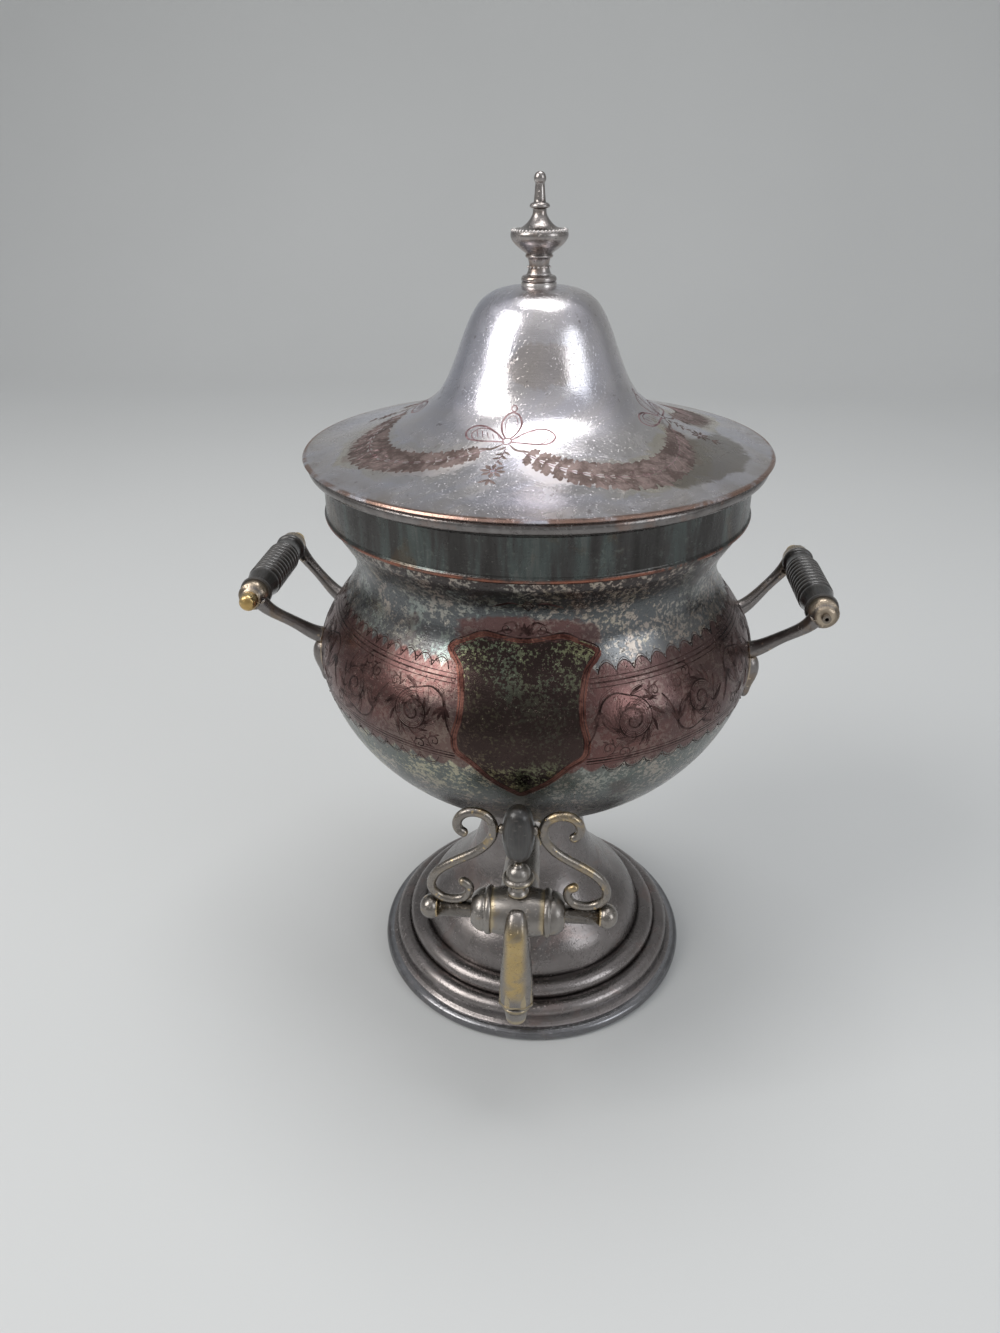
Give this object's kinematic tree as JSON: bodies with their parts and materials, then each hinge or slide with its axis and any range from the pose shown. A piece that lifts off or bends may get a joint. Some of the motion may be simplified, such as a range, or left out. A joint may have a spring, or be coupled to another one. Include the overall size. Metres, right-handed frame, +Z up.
{
  "type": "hot-water urn",
  "caption": "Silver-plated hot-water urn: bell foot, round bowl with narrow neck, lift-off domed lid with finial, two black-gripped side handles and a scroll-lever tap.",
  "frame": {"origin": "on the urn's own axis, in the plane it stands on, at the middle of the foot's underside", "axes": "+Z up along the urn's axis, -Y towards the tap, the handles at +X and -X"},
  "size_m": [0.2824, 0.2399, 0.4088],
  "materials": {
    "silver_body": "tarnished silver plate, satin",
    "silver_lid": "worn silver plate, polished",
    "silver_foot": "pewter-coloured worn plate",
    "cast_silver": "plated casting, brass showing at the edges",
    "ebony": "black stained turned wood, dull sheen",
    "brass_nut": "worn brass",
    "iron_rod": "steel, dull"
  },
  "bodies": {
    "urn": {"bowl": "silver_body", "collar_band": "silver_body", "rim_ring": "silver_body", "stem_ring": "silver_body", "foot": "silver_foot", "foot_rim": "silver_foot", "tap_flange": "cast_silver", "tap_body": "cast_silver", "spout_nozzle": "cast_silver", "left_gland": "cast_silver", "right_gland": "cast_silver", "tap_finial": "cast_silver", "left_front_arm": "cast_silver", "left_front_leaf": "cast_silver", "left_back_arm": "cast_silver", "left_back_leaf": "cast_silver", "left_grip": "ebony", "left_rod": "iron_rod", "right_front_arm": "cast_silver", "right_front_leaf": "cast_silver", "right_back_arm": "cast_silver", "right_back_leaf": "cast_silver", "right_grip": "ebony", "right_rod": "iron_rod", "cap_nuts": "brass_nut", "tap_nut": "brass_nut"},
    "lid": {"lid": "silver_lid", "lid_bezel": "silver_lid", "finial_base": "silver_lid", "finial": "silver_lid", "finial_nut": "brass_nut"},
    "tap_lever": {"tap_spindle": "cast_silver", "left_ball": "cast_silver", "right_ball": "cast_silver", "left_scroll": "cast_silver", "right_scroll": "cast_silver", "grip_pin": "cast_silver", "oval_grip": "ebony"}
  },
  "joints": [
    {"name": "lid_lift", "type": "slide", "parent": "urn", "child": "lid", "axis": [0, 0, 1], "range_m": [0, 0.12]},
    {"name": "tap_turn", "type": "hinge", "parent": "urn", "child": "tap_lever", "pos_m": [0, -0.113, 0.116], "axis": [1, 0, 0], "range_deg": [0, 90]}
  ]
}
